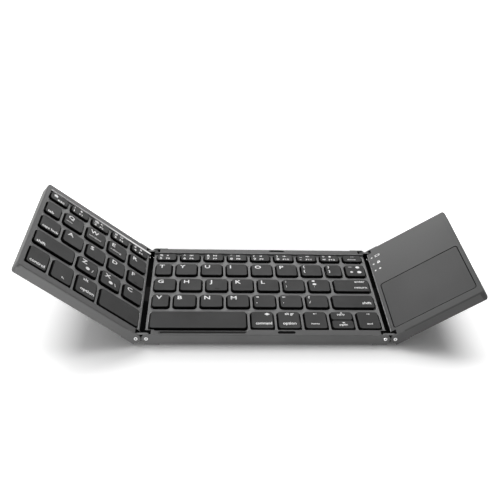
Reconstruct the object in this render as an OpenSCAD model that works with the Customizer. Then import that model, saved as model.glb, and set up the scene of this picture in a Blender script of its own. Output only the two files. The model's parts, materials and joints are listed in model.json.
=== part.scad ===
// Folding keyboard in three sections: a middle section with 41 keys, a left wing with
// 23 keys and a right wing with a touchpad. Each wing hangs on the middle by a pair of
// flat links with two hinge pins each, so that it can fold through half a turn and lie
// face down on the middle. Both wings fit side by side when they are closed.
//
// Frame: X to the right, Y to the back, Z up. The origin is the middle of the middle
// section, on the surface that the feet rest on. Heights inside a section are given
// from the underside of its shell. A wing is drawn flat with its own pin at X = 0, then
// turned to its rest angle.

/* [Sections] */
// Front to back size of all three sections
depth = 98; // [97:0.5:104]
// Thickness of a section without its feet
thickness = 7.1; // [7:0.1:8]
// Centre to centre distance of the number keys, which gives the sections their lengths
number_pitch = 16.33; // [16:0.01:18]
// Gap between the outer edges of the closed wings
wing_gap = 1; // [0.6:0.1:3]
// Rim on the left wing's outer edge
outer_rim = 2.45; // [2.3:0.05:3]
// Rounding of the wings' outer corners, seen from above
corner_radius = 3.5; // [1.5:0.1:5]
// Rounding of the long edges of the shells
edge_radius = 0.9; // [0.4:0.1:1.2]
// Thickness of the side walls
wall = 1.2; // [0.9:0.1:1.5]
// Thickness of the bottom covers
cover_thickness = 0.8; // [0.6:0.1:1]
// Play round the bottom covers
cover_play = 0.05; // [0.03:0.01:0.1]
// Angle at which the left wing stands at rest
left_angle = 38; // [0:1:90]
// Angle at which the right wing stands at rest
right_angle = 34; // [0:1:90]

/* [Hinges] */
// Distance between the two pins of a link
pin_spacing = 6.2; // [6.1:0.05:6.6]
// Gap between the decks of a wing and the middle when the wing is closed
closed_gap = 0.3; // [0.25:0.05:0.6]
// Diameter of the hinge pins
pin_diameter = 2.6; // [2:0.1:2.8]
// Radial play of a link on its pins
pin_play = 0.03; // [0.01:0.01:0.08]
// Radial play of a pin in the shell that holds it
pin_seat_play = 0.01; // [0.01:0.01:0.03]
// Thickness of the outer ears
ear_thickness = 1.1; // [0.9:0.1:1.4]
// Thickness of the link plates
link_thickness = 2; // [1.6:0.1:2.2]
// Half the height of a link plate
link_radius = 2.4; // [2.2:0.05:2.5]
// Thickness of the inner lugs
lug_thickness = 1.6; // [1.2:0.1:2]
// Radius of the inner lugs
lug_radius = 2.3; // [2:0.05:2.4]
// Play beside a link plate
link_side_play = 0.1; // [0.08:0.01:0.2]
// Play round the end of a link plate
link_end_play = 0.3; // [0.2:0.05:0.4]
// Reach of a deck over its pins
deck_lip = 0.9; // [0.5:0.05:0.9]
// Set-back of the side wall below the deck from the pins
wall_setback = 0.2; // [0.15:0.05:0.25]
// Reach of an ear's square foot past its pin
ear_foot = 1.4; // [0.5:0.1:1.5]
// Size of the solid blocks that hold the ears and lugs
corner_block = 8; // [7:0.5:10]
// Wall of a block past its lug
block_margin = 1; // [0.8:0.1:1.5]
// Depth of a pin's end below its ear
pin_recess = 0.05; // [0.02:0.01:0.1]

/* [Spines] */
// Width of the spine bar between the sections
spine_width = 4; // [3:0.1:4.2]
// Thickness of the spine bar
spine_thickness = 2; // [1.4:0.1:2.1]
// Drop of the spine bar's top below the pins
spine_drop = 1.6; // [1.5:0.05:1.8]
// Width of the tabs that join the spine bar to the link plates
spine_tab_width = 1.8; // [1.2:0.1:2.4]
// Play at each end of the spine bar
spine_end_play = 0.4; // [0.3:0.05:0.6]
// Width of the flat cable in the spine
cable_width = 16; // [8:1:30]
// Thickness of the flat cable
cable_thickness = 0.2; // [0.1:0.05:0.3]

/* [Deck] */
// Depth of the key well below the rims
well_depth = 1.5; // [1.3:0.05:1.6]
// Thickness of the deck between the keys
web_thickness = 1.2; // [0.9:0.1:1.3]
// Width of the web past the outer keys of the left wing
outer_web = 0.5; // [0.3:0.1:0.7]
// Width of the rim behind the keys
back_rim = 5.8; // [5.2:0.1:6.2]
// Width of the rim in front of the keys
front_rim = 5.4; // [5:0.1:5.8]
// Width of the thin rim in front of the right space bar
thumb_rim = 1.8; // [1.2:0.1:2.5]
// Slant of the ends of the thumb recess
thumb_slant = 3; // [2:0.5:5]
// Depth of the thumb recess under the web
thumb_drop = 0.15; // [0.1:0.05:0.3]
// Length of the rubber bumpers on the middle's rims
bumper_length = 11; // [8:0.5:14]
// Width of the bumpers
bumper_width = 2.4; // [1.8:0.1:2.6]
// Distance of the bumpers to the right of the centre line
bumper_x = 12; // [8:0.5:16]
// Distance of the front bumper's centre from the front edge
bumper_front = 3; // [2.2:0.1:3.6]
// Distance of the back bumper's centre from the back edge
bumper_back = 1.9; // [1.9:0.1:4]
// Height of the bumpers over the rims
bumper_proud = 0.1; // [0.05:0.01:0.12]
// Depth of the bumper pockets
bumper_seat = 0.6; // [0.4:0.1:0.8]

/* [Keys] */
// Side to side gap between two key tops
key_gap_x = 3.1; // [2.8:0.1:3.4]
// Front to back gap between two key tops
key_gap_y = 4.55; // [4.2:0.05:4.7]
// Front to back size of the number keys, as a share of a letter key
top_row_share = 0.59; // [0.5:0.01:0.8]
// Front to back size of the keys beside the space bars, as a share of a letter key
bottom_row_share = 1.265; // [1:0.005:1.4]
// Distance of the last row from the back of the well
back_margin = 1; // [0.9:0.1:1.5]
// Distance of the first row from the front of the well
front_margin = 1.8; // [1.2:0.1:2.5]
// Distance of the keys' cells from the hinge side of a deck
field_edge = 0.6; // [0.5:0.05:0.9]
// Gap between the up and down arrow keys
arrow_split = 0.4; // [0.3:0.05:0.8]
// Width of the gap round a key in its window
key_clearance = 0.85; // [0.4:0.05:0.95]
// Corner radius of the key tops
key_corner = 1.9; // [1:0.1:2]
// Height of a key cap
key_height = 1.6; // [1.3:0.1:1.7]
// Drop of the key tops below the rims
key_drop = 0.1; // [0.1:0.05:0.3]
// Thickness of a key's top
key_top = 0.7; // [0.5:0.1:0.8]
// Thickness of a key's skirt
key_skirt = 1; // [0.7:0.1:1]
// Bevel round a key's top
key_bevel = 0.2; // [0.1:0.05:0.3]
// Travel of the keys
key_travel = 1; // [0.8:0.05:1]
// Space left under a key that is down
travel_margin = 0.2; // [0.1:0.05:0.3]
// Height of the bars on the two homing keys
homing_height = 0.1; // [0.05:0.01:0.1]
// Length of the homing bars
homing_length = 3; // [2:0.1:4]
// Width of the homing bars
homing_width = 0.6; // [0.4:0.05:0.8]
// Distance of the homing bars' middles from the front of their keys
homing_front = 2.7; // [2:0.1:4]

/* [Inside] */
// Drop of the steel support plate below the rims
support_drop = 4.1; // [3.9:0.1:4.3]
// Thickness of the support plate
support_thickness = 0.3; // [0.2:0.05:0.4]
// Thickness of the dome sheet
sheet_thickness = 0.3; // [0.2:0.05:0.35]
// Base radius of a rubber dome
dome_radius = 1.9; // [1.5:0.1:2]
// Size of a scissor frame
scissor_size = [10, 6.4, 0.6];
// Width of a scissor frame's legs
scissor_leg = 0.85; // [0.6:0.05:0.9]
// Size of the main circuit board
board_size = [96, 22, 0.8];
// Front to back size of the battery
battery_depth = 34; // [20:1:42]
// Thickness of the battery
battery_thickness = 3.2; // [2.5:0.1:3.4]
// Distance of the battery's sides from the touchpad's sides
battery_margin = 5; // [3:0.5:12]
// Radius of the posts that carry the support plates
post_radius = 1.5; // [1:0.1:2.5]
// Spacing of the posts
post_pitch = 20; // [16:1:30]
// Distance of the last posts from the walls and blocks
post_margin = 3; // [2:0.5:6]
// Distance of the inner rows of posts from the circuit board
post_offset = 5; // [3:0.5:8]
// Clearance between stacked inner parts and the walls
inner_clearance = 0.4; // [0.2:0.05:0.6]

/* [Touchpad] */
// Distance of the touchpad from the wing's outer edge
pad_margin = 2.7; // [2:0.1:6]
// Front to back size of the touchpad
pad_depth = 47; // [40:0.5:50]
// Distance of the touchpad from the pins
pad_inset = 2; // [1.8:0.1:2.4]
// Distance of the touchpad from the front edge
pad_front = 7; // [6:0.1:10]
// Groove round the touchpad
pad_groove = 0.45; // [0.3:0.05:0.7]
// Thickness of the touchpad's board
pad_board_thickness = 0.8; // [0.6:0.1:1]
// Overlap of the touchpad's board under the deck
pad_board_overlap = 0.5; // [0.3:0.1:0.6]
// Drop of the touchpad below the deck
pad_drop = 0.1; // [0.05:0.05:0.2]
// Corner radius of the touchpad
pad_corner = 1.5; // [1:0.1:3]
// Diameter of the indicator lights
light_diameter = 1.2; // [0.8:0.1:1.6]
// Spacing of the indicator lights
light_pitch = 7.9; // [6:0.1:9]
// Distance of the indicator lights from the pins
light_inset = 2; // [1.8:0.1:4]
// Distance of the last indicator light from the back edge
light_back = 11; // [9:0.5:16]
// Width of the charging socket
socket_width = 7.5; // [7:0.1:8]
// Height of the charging socket
socket_height = 2.7; // [2.5:0.1:3]
// Depth of the charging socket
socket_depth = 5.5; // [4.5:0.1:7]
// Wall of the charging socket
socket_wall = 0.35; // [0.3:0.05:0.5]
// Distance of the socket from the pins
socket_inset = 22; // [14:1:40]

/* [Feet] */
// Diameter of the rubber feet
foot_diameter = 7; // [5:0.5:8]
// Height of the feet under the shell
foot_height = 0.4; // [0.35:0.05:0.6]
// Depth of the feet's pockets in the bottom covers
foot_seat = 0.3; // [0.2:0.05:0.4]
// Distance of the feet from the edges
foot_inset = 9; // [7:0.5:14]

/* [Hidden] */
$fn = 40;

TINY = 0.01;
half_depth = depth / 2;
middle_count = 9;
left_count = 5;
deck_edge = middle_count * number_pitch / 2 + field_edge;
pin_x = deck_edge - deck_lip;
left_length = left_count * number_pitch + field_edge + outer_rim - deck_lip;
right_length = 2 * pin_x - left_length - wing_gap;
web_level = thickness - well_depth;
web_under = web_level - web_thickness;
ear_radius = (pin_spacing - closed_gap) / 2;
pin_height = thickness - ear_radius;
pin_radius = pin_diameter / 2;
key_level = thickness - key_drop;
cap_under = key_level - key_height;

// Hinge stations along Y, from the outer face inwards
ear_in = half_depth - ear_thickness;
link_out = ear_in - link_side_play;
link_in = link_out - link_thickness;
lug_out = link_in - link_side_play;
lug_in = lug_out - lug_thickness;

// Key rows from back to front: centre and size along Y
function sum(v, n) = n <= 0 ? 0 : v[n - 1] + sum(v, n - 1);
well_back = half_depth - back_rim;
well_front = -half_depth + front_rim;
rows_back = well_back - back_margin;
row_shares = [top_row_share, 1, 1, 1, bottom_row_share];
letter_depth = (rows_back - well_front - front_margin - 4 * key_gap_y) / sum(row_shares, 5);
row_depths = row_shares * letter_depth;
function row_y(r) = rows_back - sum(row_depths, r) - r * key_gap_y - row_depths[r] / 2;

// Key rows along X, from left to right, in widths of a letter key. A row fills its field.
middle_rows = [
    [1, 1, 1, 1, 1, 1, 1, 1, 1],
    [0.8, 1, 1, 1, 1, 1, 1, 0.8, 0.97],
    [1, 1, 1, 1, 1, 1, 1, 1.57],
    [0.8, 1, 1, 1, 1, 1, 1, 1.77],
    [3.73, 1, 1, 1, 1, 1]];
left_rows = [
    [1, 1, 1, 1, 1],
    [0.81, 1, 1, 1, 0.955],
    [0.98, 1, 0.98, 0.9, 0.9],
    [1.78, 1, 1, 0.98],
    [0.97, 1, 1, 1.89]];
middle_field = middle_count * number_pitch;
left_field = left_count * number_pitch;
middle_start = -middle_field / 2;
left_start = -left_length + outer_rim;
function key_unit(row, field) = field / sum(row, len(row));
// Sizes of the keys are given to the nearest 0.02 mm and their centres to 0.01 mm
function to_step(v, step) = round(v / step) * step;
// [centre x, centre y, width, depth] of key k in row r
function key_box(rows, r, field, start, k) =
    let (row = rows[r], unit = key_unit(row, field))
    [to_step(start + (sum(row, k) + row[k] / 2) * unit, 0.01), to_step(row_y(r), 0.01),
     to_step(row[k] * unit - key_gap_x, 0.02), to_step(row_depths[r], 0.02)];
function mid_key(r, k) = key_box(middle_rows, r, middle_field, middle_start, k);
function left_key(r, k) = key_box(left_rows, r, left_field, left_start, k);
arrow_column = 4;
middle_keys = [for (r = [0:4]) for (k = [0:len(middle_rows[r]) - 1]) mid_key(r, k)];
left_keys = [for (r = [0:4]) for (k = [0:len(left_rows[r]) - 1]) left_key(r, k)];
arrow_box = mid_key(4, arrow_column);
half_arrow = (arrow_box[3] - arrow_split) / 2;
up_box = [arrow_box[0], arrow_box[1] + (half_arrow + arrow_split) / 2, arrow_box[2], half_arrow];
down_box = [arrow_box[0], arrow_box[1] - (half_arrow + arrow_split) / 2, arrow_box[2], half_arrow];
middle_caps = concat([for (b = middle_keys) if (b != arrow_box) b], [up_box, down_box]);

window_corner = key_corner + key_clearance;
skirt_low = cap_under - key_travel - travel_margin;
flat_under = thickness - web_thickness;

// Heights of the inner parts
support_height = thickness - support_drop;
sheet_low = support_height + support_thickness;
sheet_top = sheet_low + sheet_thickness;
dome_height = key_level - key_top - key_travel - travel_margin - sheet_top;
chip_size = [9, 9, support_height - cover_thickness - board_size[2] - inner_clearance];

spine_top = pin_height - spine_drop;

pad_width = right_length - pad_inset - pad_margin - 2 * pad_groove;
pad_x = -pad_inset - pad_groove - pad_width / 2;
pad_y = -half_depth + pad_front + pad_depth / 2;
light_seat = flat_under - 0.2;

// Foot places [x, y]
foot_y = half_depth - foot_inset;
middle_foot_places = [for (i = [-1, 1]) for (j = [-1, 1])
    [i * (pin_x - foot_inset - corner_block / 2), j * foot_y]];
function wing_foot_places(length) = [for (x = [-length + foot_inset, -foot_inset - corner_block / 2])
    for (j = [-1, 1]) [x, j * foot_y]];
left_foot_places = wing_foot_places(left_length);
right_foot_places = wing_foot_places(right_length);

frame_grey = [0.36, 0.36, 0.38];
key_black = [0.24, 0.24, 0.26];
rubber_black = [0.08, 0.08, 0.09];
steel = [0.75, 0.76, 0.78];

// ---- Shared shapes ----

module rounded(size, r) {
    square([size[0] - 2 * r, size[1]], center = true);
    square([size[0], size[1] - 2 * r], center = true);
    for (i = [-1, 1]) for (j = [-1, 1])
        translate([i * (size[0] / 2 - r), j * (size[1] / 2 - r)]) circle(r = r);
}

// A section's outline from X = a (hinge side) to X = b (outer side)
module wing_plan(a, b, inset = 0) {
    s = sign(b - a);
    r = max(corner_radius - inset, 0.3);
    hd = half_depth - inset;
    w = abs(b - a) - inset;
    translate([s > 0 ? a : a - (w - r), -hd]) square([w - r, 2 * hd]);
    translate([a + s * w / 2, 0]) square([w, 2 * (hd - r)], center = true);
    for (j = [-1, 1]) translate([a + s * (w - r), j * (hd - r)]) circle(r = r);
}

// Front view of a section's side faces, with rounded top and bottom edges
module side_profile() {
    translate([0, thickness / 2]) rounded([depth, thickness], edge_radius);
}

// A shape drawn in Y and Z, extruded along X from a to b
module along_x(a, b) {
    translate([min(a, b), 0, 0]) rotate([90, 0, 90]) linear_extrude(abs(b - a)) children();
}

// A shape drawn in X and Z, extruded along Y from a to b
module along_y(a, b) {
    translate([0, b, 0]) rotate([90, 0, 0]) linear_extrude(b - a) children();
}

// ---- Hinge corners. The pin is at X = 0 and the section lies on its -X side. ----

module both_corners() {
    for (j = [0, 1]) mirror([0, j, 0]) children();
}

// Outer ear: round about the pin, with a square foot under it
module ear_shape() {
    translate([0, pin_height]) circle(r = ear_radius);
    translate([-corner_block, 0]) square([corner_block, thickness]);
    square([ear_foot, pin_height]);
}

module lug_shape() {
    translate([0, pin_height]) circle(r = lug_radius);
    translate([-corner_block, pin_height - lug_radius]) square([corner_block, 2 * lug_radius]);
}

// Room for the end of a link while it swings from level to upright
module notch_shape() {
    r = link_radius + link_end_play;
    translate([0, pin_height]) circle(r = r);
    translate([-r, pin_height]) square([r + corner_block, thickness]);
    translate([-wall_setback, -1]) square([corner_block, thickness]);
}

module hinge_cuts() {
    translate([-wall_setback, -depth, -1]) cube([corner_block, 2 * depth, web_under + 1]);
    both_corners() along_y(lug_in, depth) notch_shape();
}

module hinge_adds() {
    both_corners() {
        along_y(ear_in, half_depth) ear_shape();
        along_y(lug_in, lug_out) lug_shape();
    }
}

module hinge_bores() {
    both_corners() translate([0, half_depth + 1, pin_height]) rotate([90, 0, 0])
        cylinder(r = pin_radius + pin_seat_play, h = half_depth + 1 - lug_in + 1);
}

module pins() {
    both_corners() translate([0, lug_in, pin_height]) rotate([-90, 0, 0])
        cylinder(r = pin_radius, h = half_depth - lug_in - pin_recess);
}

// Inside outline of a section of the given length, without its hinge corners
module inner_plan(length, inset = 0) {
    corner_y = lug_in - block_margin;
    edge = wall_setback + wall + inset;
    difference() {
        intersection() {
            translate([-length + wall + inset, -half_depth + wall + inset])
                square([length - wall - inset - edge, depth - 2 * (wall + inset)]);
            wing_plan(deck_lip, -length, wall + inset);
        }
        both_corners() translate([-corner_block - inset, corner_y - inset])
            square([2 * corner_block, half_depth]);
    }
}

module middle_inner_plan(inset = 0) {
    x = pin_x - wall_setback - wall - inset;
    y = half_depth - wall - inset;
    difference() {
        square([2 * x, 2 * y], center = true);
        for (i = [-1, 1]) for (j = [-1, 1])
            translate([i * pin_x, j * half_depth])
                square(2 * [corner_block + inset, half_depth - lug_in + block_margin + inset],
                       center = true);
    }
}

// ---- Shells ----

// Outer form of a wing: rounded long edges, rounded outer end and outer corners
module wing_block(length) {
    intersection() {
        along_x(-length, deck_lip) side_profile();
        linear_extrude(thickness) wing_plan(deck_lip, -length);
        along_y(-half_depth, half_depth) translate([0, thickness / 2])
            rounded([2 * length, thickness], edge_radius);
    }
}

module windows(boxes) {
    for (b = boxes) translate([b[0], b[1]])
        rounded([b[2] + 2 * key_clearance, b[3] + 2 * key_clearance], window_corner);
}

// Sunken part of the middle's deck
module middle_well() {
    x = deck_edge + 1;
    translate([-x, well_front]) square([2 * x, well_back - well_front]);
}

// Recess for the thumbs between the right space bar and the front edge
module thumb_recess() {
    space = mid_key(4, 0);
    a = space[0] - space[2] / 2 + thumb_slant;
    b = space[0] + space[2] / 2 + thumb_slant / 2;
    front = -half_depth + thumb_rim;
    back = well_front + (front_margin - key_clearance) / 2;
    polygon([[a, back], [a, well_front], [a + thumb_slant, front], [b - thumb_slant, front],
             [b, well_front], [b, back]]);
}

module bumper_places() {
    translate([bumper_x, -half_depth + bumper_front, thickness - bumper_seat]) children();
    translate([bumper_x, half_depth - bumper_back, thickness - bumper_seat]) children();
}

module middle_frame() color(frame_grey) difference() {
    union() {
        difference() {
            along_x(-deck_edge, deck_edge) side_profile();
            translate([0, 0, -1]) linear_extrude(web_under + 1) middle_inner_plan();
            translate([0, 0, web_level]) linear_extrude(well_depth + 1) middle_well();
            translate([0, 0, web_level - thumb_drop]) linear_extrude(thickness) thumb_recess();
            translate([0, 0, skirt_low]) linear_extrude(thickness) windows(middle_keys);
            bumper_places() linear_extrude(thickness)
                rounded([bumper_length + 2 * TINY, bumper_width + 2 * TINY],
                        bumper_width / 2 + TINY / 2);
            middle_ends() hinge_cuts();
        }
        middle_ends() hinge_adds();
    }
    middle_ends() hinge_bores();
}

module middle_ends() {
    for (i = [0, 1]) mirror([i, 0, 0]) translate([pin_x, 0, 0]) children();
}

module left_frame() color(frame_grey) difference() {
    union() {
        difference() {
            wing_block(left_length);
            translate([0, 0, -1]) linear_extrude(web_under + 1) inner_plan(left_length);
            translate([left_start + outer_web, well_front, web_level])
                cube([left_length + corner_block, well_back - well_front, thickness]);
            translate([0, 0, skirt_low]) linear_extrude(thickness) windows(left_keys);
            hinge_cuts();
        }
        hinge_adds();
    }
    hinge_bores();
}

module right_frame() color(frame_grey) difference() {
    union() {
        difference() {
            wing_block(right_length);
            translate([0, 0, -1])
                linear_extrude(flat_under + 1) inner_plan(right_length);
            translate([pad_x, pad_y, 0]) linear_extrude(2 * thickness)
                rounded([pad_width + 2 * pad_groove, pad_depth + 2 * pad_groove],
                        pad_corner + pad_groove);
            light_places() cylinder(d = light_diameter + 2 * TINY, h = thickness);
            socket_place() translate([0, 0, socket_height / 2])
                cube([socket_width, 4 * socket_depth, socket_height] + 2 * [TINY, 0, TINY],
                     center = true);
            hinge_cuts();
        }
        hinge_adds();
    }
    hinge_bores();
}

// ---- Bottom covers with their posts and foot pockets ----

module foot_pockets(places) {
    for (p = places) translate([p[0], p[1], -1])
        cylinder(d = foot_diameter + 2 * TINY, h = foot_seat + 1);
}

module feet(places) {
    for (p = places) translate([p[0], p[1], -foot_height])
        cylinder(d = foot_diameter, h = foot_height + foot_seat);
}

// Posts in rows before and behind the circuit board, between X = a and X = b
module posts(a, b) {
    n = floor((b - a) / post_pitch);
    inner_row = board_size[1] / 2 + post_offset;
    for (k = [0:n]) for (y = [inner_row, half_depth - wall - 3 * post_radius])
        for (j = [-1, 1]) translate([(a + b) / 2 + (k - n / 2) * post_pitch, j * y, 0])
            cylinder(r = post_radius, h = support_height);
}

module middle_bottom_cover() color(frame_grey) difference() {
    union() {
        linear_extrude(cover_thickness) middle_inner_plan(cover_play);
        posts(-pin_x + corner_block + post_margin, pin_x - corner_block - post_margin);
    }
    foot_pockets(middle_foot_places);
}

module left_bottom_cover() color(frame_grey) difference() {
    union() {
        linear_extrude(cover_thickness) inner_plan(left_length, cover_play);
        posts(-left_length + wall + post_margin, -corner_block - post_margin);
    }
    foot_pockets(left_foot_places);
}

module right_bottom_cover() color(frame_grey) difference() {
    linear_extrude(cover_thickness) inner_plan(right_length, cover_play);
    foot_pockets(right_foot_places);
}

// ---- Inner plates ----

module middle_support_plate() color(steel) translate([0, 0, support_height])
    linear_extrude(support_thickness) middle_inner_plan(inner_clearance);

module left_support_plate() color(steel) translate([0, 0, support_height])
    linear_extrude(support_thickness) inner_plan(left_length, inner_clearance);

// A rubber dome stands under each key, at the height it has when the key is down
module domes(boxes) {
    for (b = boxes) translate([b[0], b[1], sheet_low])
        cylinder(r1 = dome_radius, r2 = dome_radius * 0.7, h = sheet_thickness + dome_height);
}

module middle_dome_sheet() color(rubber_black) {
    translate([0, 0, sheet_low])
        linear_extrude(sheet_thickness) middle_inner_plan(inner_clearance);
    domes(middle_caps);
}

module left_dome_sheet() color(rubber_black) {
    translate([0, 0, sheet_low])
        linear_extrude(sheet_thickness) inner_plan(left_length, inner_clearance);
    domes(left_keys);
}

module scissors(boxes) {
    opening = [scissor_size[0] - 2 * scissor_leg, scissor_size[1] - 2 * scissor_leg];
    for (b = boxes) translate([b[0], b[1], sheet_low + sheet_thickness])
        linear_extrude(scissor_size[2]) difference() {
            square([scissor_size[0], scissor_size[1]], center = true);
            square(opening, center = true);
        }
}

module middle_scissors() color("ivory") scissors(middle_caps);
module left_scissors() color("ivory") scissors(left_keys);

module main_board() color([0.1, 0.35, 0.2]) translate([0, 0, cover_thickness]) {
    translate([0, 0, board_size[2] / 2]) cube(board_size, center = true);
    for (x = [-chip_size[0] * 2, chip_size[0]]) translate([x, 0, board_size[2]])
        translate([0, 0, chip_size[2] / 2]) cube(chip_size, center = true);
}

module middle_bumpers() color(rubber_black) bumper_places()
    linear_extrude(bumper_seat + bumper_proud)
        rounded([bumper_length, bumper_width], bumper_width / 2 - TINY);

// ---- Keys ----

// A cap with a bevelled top, open below. The box gives its centre and size.
module key_cap(b) {
    translate([b[0], b[1], cap_under]) difference() {
        intersection() {
            linear_extrude(key_height) rounded([b[2], b[3]], key_corner);
            along_y(-b[3], b[3]) bevelled(b[2]);
            along_x(-b[2], b[2]) bevelled(b[3]);
        }
        translate([0, 0, (key_height - key_top) / 2])
            cube([b[2] - 2 * key_skirt, b[3] - 2 * key_skirt, key_height - key_top + TINY],
                 center = true);
    }
}

module bevelled(w) {
    polygon([[-w / 2, 0], [w / 2, 0], [w / 2, key_height - key_bevel],
             [w / 2 - key_bevel, key_height], [-w / 2 + key_bevel, key_height],
             [-w / 2, key_height - key_bevel]]);
}

// Small raised bar by which the first fingers find their keys
module homing_bar(b) {
    translate([b[0], b[1] - b[3] / 2 + homing_front, key_level])
        cube([homing_length, homing_width, 2 * homing_height], center = true);
}

module middle_key_run(r, first, last) color(key_black)
    for (k = [first:last]) key_cap(mid_key(r, k));
module left_key_run(r, first, last) color(key_black)
    for (k = [first:last]) key_cap(left_key(r, k));

module number_keys_right() middle_key_run(0, 0, 7);
module delete_key() middle_key_run(0, 8, 8);
module top_letter_keys_right() middle_key_run(1, 0, 7);
module backslash_key() middle_key_run(1, 8, 8);
module home_keys_right() {
    middle_key_run(2, 0, 6);
    color(key_black) homing_bar(mid_key(2, 2));
}
module enter_key() middle_key_run(2, 7, 7);
module low_letter_keys_right() middle_key_run(3, 0, 6);
module right_shift_key() middle_key_run(3, 7, 7);
module right_space_bar() middle_key_run(4, 0, 0);
module right_command_key() middle_key_run(4, 1, 1);
module right_alt_key() middle_key_run(4, 2, 2);
module left_arrow_key() middle_key_run(4, 3, 3);
module up_arrow_key() color(key_black) key_cap(up_box);
module down_arrow_key() color(key_black) key_cap(down_box);
module right_arrow_key() middle_key_run(4, 5, 5);

module esc_key() left_key_run(0, 0, 0);
module number_keys_left() left_key_run(0, 1, 4);
module tab_key() left_key_run(1, 0, 0);
module top_letter_keys_left() left_key_run(1, 1, 4);
module caps_lock_key() left_key_run(2, 0, 0);
module home_keys_left() {
    left_key_run(2, 1, 4);
    color(key_black) homing_bar(left_key(2, 4));
}
module left_shift_key() left_key_run(3, 0, 0);
module low_letter_keys_left() left_key_run(3, 1, 3);
module ctrl_key() left_key_run(4, 0, 0);
module fn_key() left_key_run(4, 1, 1);
module left_alt_key() left_key_run(4, 2, 2);
module left_space_bar() left_key_run(4, 3, 3);

// ---- Right wing's fittings ----

module touchpad() color([0.33, 0.33, 0.35]) translate([pad_x, pad_y, flat_under])
    linear_extrude(web_thickness - pad_drop) rounded([pad_width, pad_depth], pad_corner);

module touchpad_board() color([0.1, 0.35, 0.2])
    translate([pad_x, pad_y, flat_under - pad_board_thickness / 2])
        cube([pad_width + 2 * (pad_groove + pad_board_overlap),
              pad_depth + 2 * (pad_groove + pad_board_overlap), pad_board_thickness],
             center = true);

module battery() color("silver") translate([pad_x, pad_y, cover_thickness])
    linear_extrude(battery_thickness)
        rounded([pad_width - 2 * battery_margin, battery_depth], pad_corner);

module light_places() {
    for (k = [0:2]) translate([-light_inset, half_depth - light_back - k * light_pitch,
                               light_seat])
        children();
}

module indicator_lights() color("white")
    light_places() cylinder(d = light_diameter, h = thickness - light_seat);

module socket_place() {
    translate([-socket_inset, half_depth, cover_thickness]) children();
}

module charging_socket() color("silver") socket_place() {
    translate([0, -socket_depth / 2, socket_height / 2]) difference() {
        cube([socket_width, socket_depth, socket_height], center = true);
        translate([0, socket_wall, 0])
            cube([socket_width, socket_depth, socket_height]
                 - 2 * [socket_wall, 0, socket_wall], center = true);
    }
    translate([0, -socket_depth / 2, socket_height * 0.6])
        cube([socket_width * 0.6, socket_depth - socket_wall, socket_height * 0.2],
             center = true);
}

// ---- Links: the middle's pin is at X = 0 and the link reaches to -X ----

module links() color(steel) both_corners() along_y(link_in, link_out) difference() {
    union() {
        for (x = [0, -pin_spacing]) translate([x, pin_height]) circle(r = link_radius);
        translate([-pin_spacing, pin_height - link_radius])
            square([pin_spacing, 2 * link_radius]);
    }
    for (x = [0, -pin_spacing]) translate([x, pin_height])
        circle(r = pin_radius + pin_play);
}

module spine() color(rubber_black) translate([-pin_spacing / 2, 0, spine_top]) difference() {
    union() {
        bar = lug_in - spine_end_play;
        translate([-spine_width / 2, -bar, -spine_thickness])
            cube([spine_width, 2 * bar, spine_thickness]);
        translate([-spine_tab_width / 2, -link_in, -spine_thickness])
            cube([spine_tab_width, 2 * link_in, spine_thickness]);
    }
    cube([2 * spine_width, cable_width + 2 * TINY, 2 * cable_thickness], center = true);
}

module flat_cable() color("dimgray") translate([-pin_spacing / 2, 0, spine_top])
    translate([0, 0, -cable_thickness / 2])
        cube([spine_width, cable_width, cable_thickness], center = true);

// ---- Places of the sections and links in the whole ----

module at_middle() {
    translate([0, 0, foot_height]) children();
}

module at_left_wing() {
    translate([-pin_x - pin_spacing, 0, foot_height + pin_height])
        rotate([0, left_angle, 0]) translate([0, 0, -pin_height]) children();
}

module at_right_wing() {
    mirror([1, 0, 0]) translate([-pin_x - pin_spacing, 0, foot_height + pin_height])
        rotate([0, right_angle, 0]) translate([0, 0, -pin_height]) children();
}

module at_left_link() {
    translate([-pin_x, 0, foot_height]) children();
}

module at_right_link() {
    mirror([1, 0, 0]) at_left_link() children();
}

module middle_feet() color(rubber_black) feet(middle_foot_places);
module middle_pins() color("silver") middle_ends() pins();
module left_feet() color(rubber_black) feet(left_foot_places);
module left_wing_pins() color("silver") pins();
module right_feet() color(rubber_black) feet(right_foot_places);
module right_wing_pins() color("silver") pins();
module left_links() links();
module right_links() links();
module left_spine() spine();
module right_spine() spine();
module left_flat_cable() flat_cable();
module right_flat_cable() flat_cable();

at_middle() middle_frame();
at_middle() middle_bottom_cover();
at_middle() middle_support_plate();
at_middle() middle_dome_sheet();
at_middle() middle_scissors();
at_middle() main_board();
at_middle() middle_bumpers();
at_middle() middle_feet();
at_middle() middle_pins();
at_middle() number_keys_right();
at_middle() delete_key();
at_middle() top_letter_keys_right();
at_middle() backslash_key();
at_middle() home_keys_right();
at_middle() enter_key();
at_middle() low_letter_keys_right();
at_middle() right_shift_key();
at_middle() right_space_bar();
at_middle() right_command_key();
at_middle() right_alt_key();
at_middle() left_arrow_key();
at_middle() up_arrow_key();
at_middle() down_arrow_key();
at_middle() right_arrow_key();
at_left_wing() left_frame();
at_left_wing() left_bottom_cover();
at_left_wing() left_support_plate();
at_left_wing() left_dome_sheet();
at_left_wing() left_scissors();
at_left_wing() left_feet();
at_left_wing() left_wing_pins();
at_left_wing() esc_key();
at_left_wing() number_keys_left();
at_left_wing() tab_key();
at_left_wing() top_letter_keys_left();
at_left_wing() caps_lock_key();
at_left_wing() home_keys_left();
at_left_wing() left_shift_key();
at_left_wing() low_letter_keys_left();
at_left_wing() ctrl_key();
at_left_wing() fn_key();
at_left_wing() left_alt_key();
at_left_wing() left_space_bar();
at_right_wing() right_frame();
at_right_wing() right_bottom_cover();
at_right_wing() touchpad();
at_right_wing() touchpad_board();
at_right_wing() battery();
at_right_wing() indicator_lights();
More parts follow.
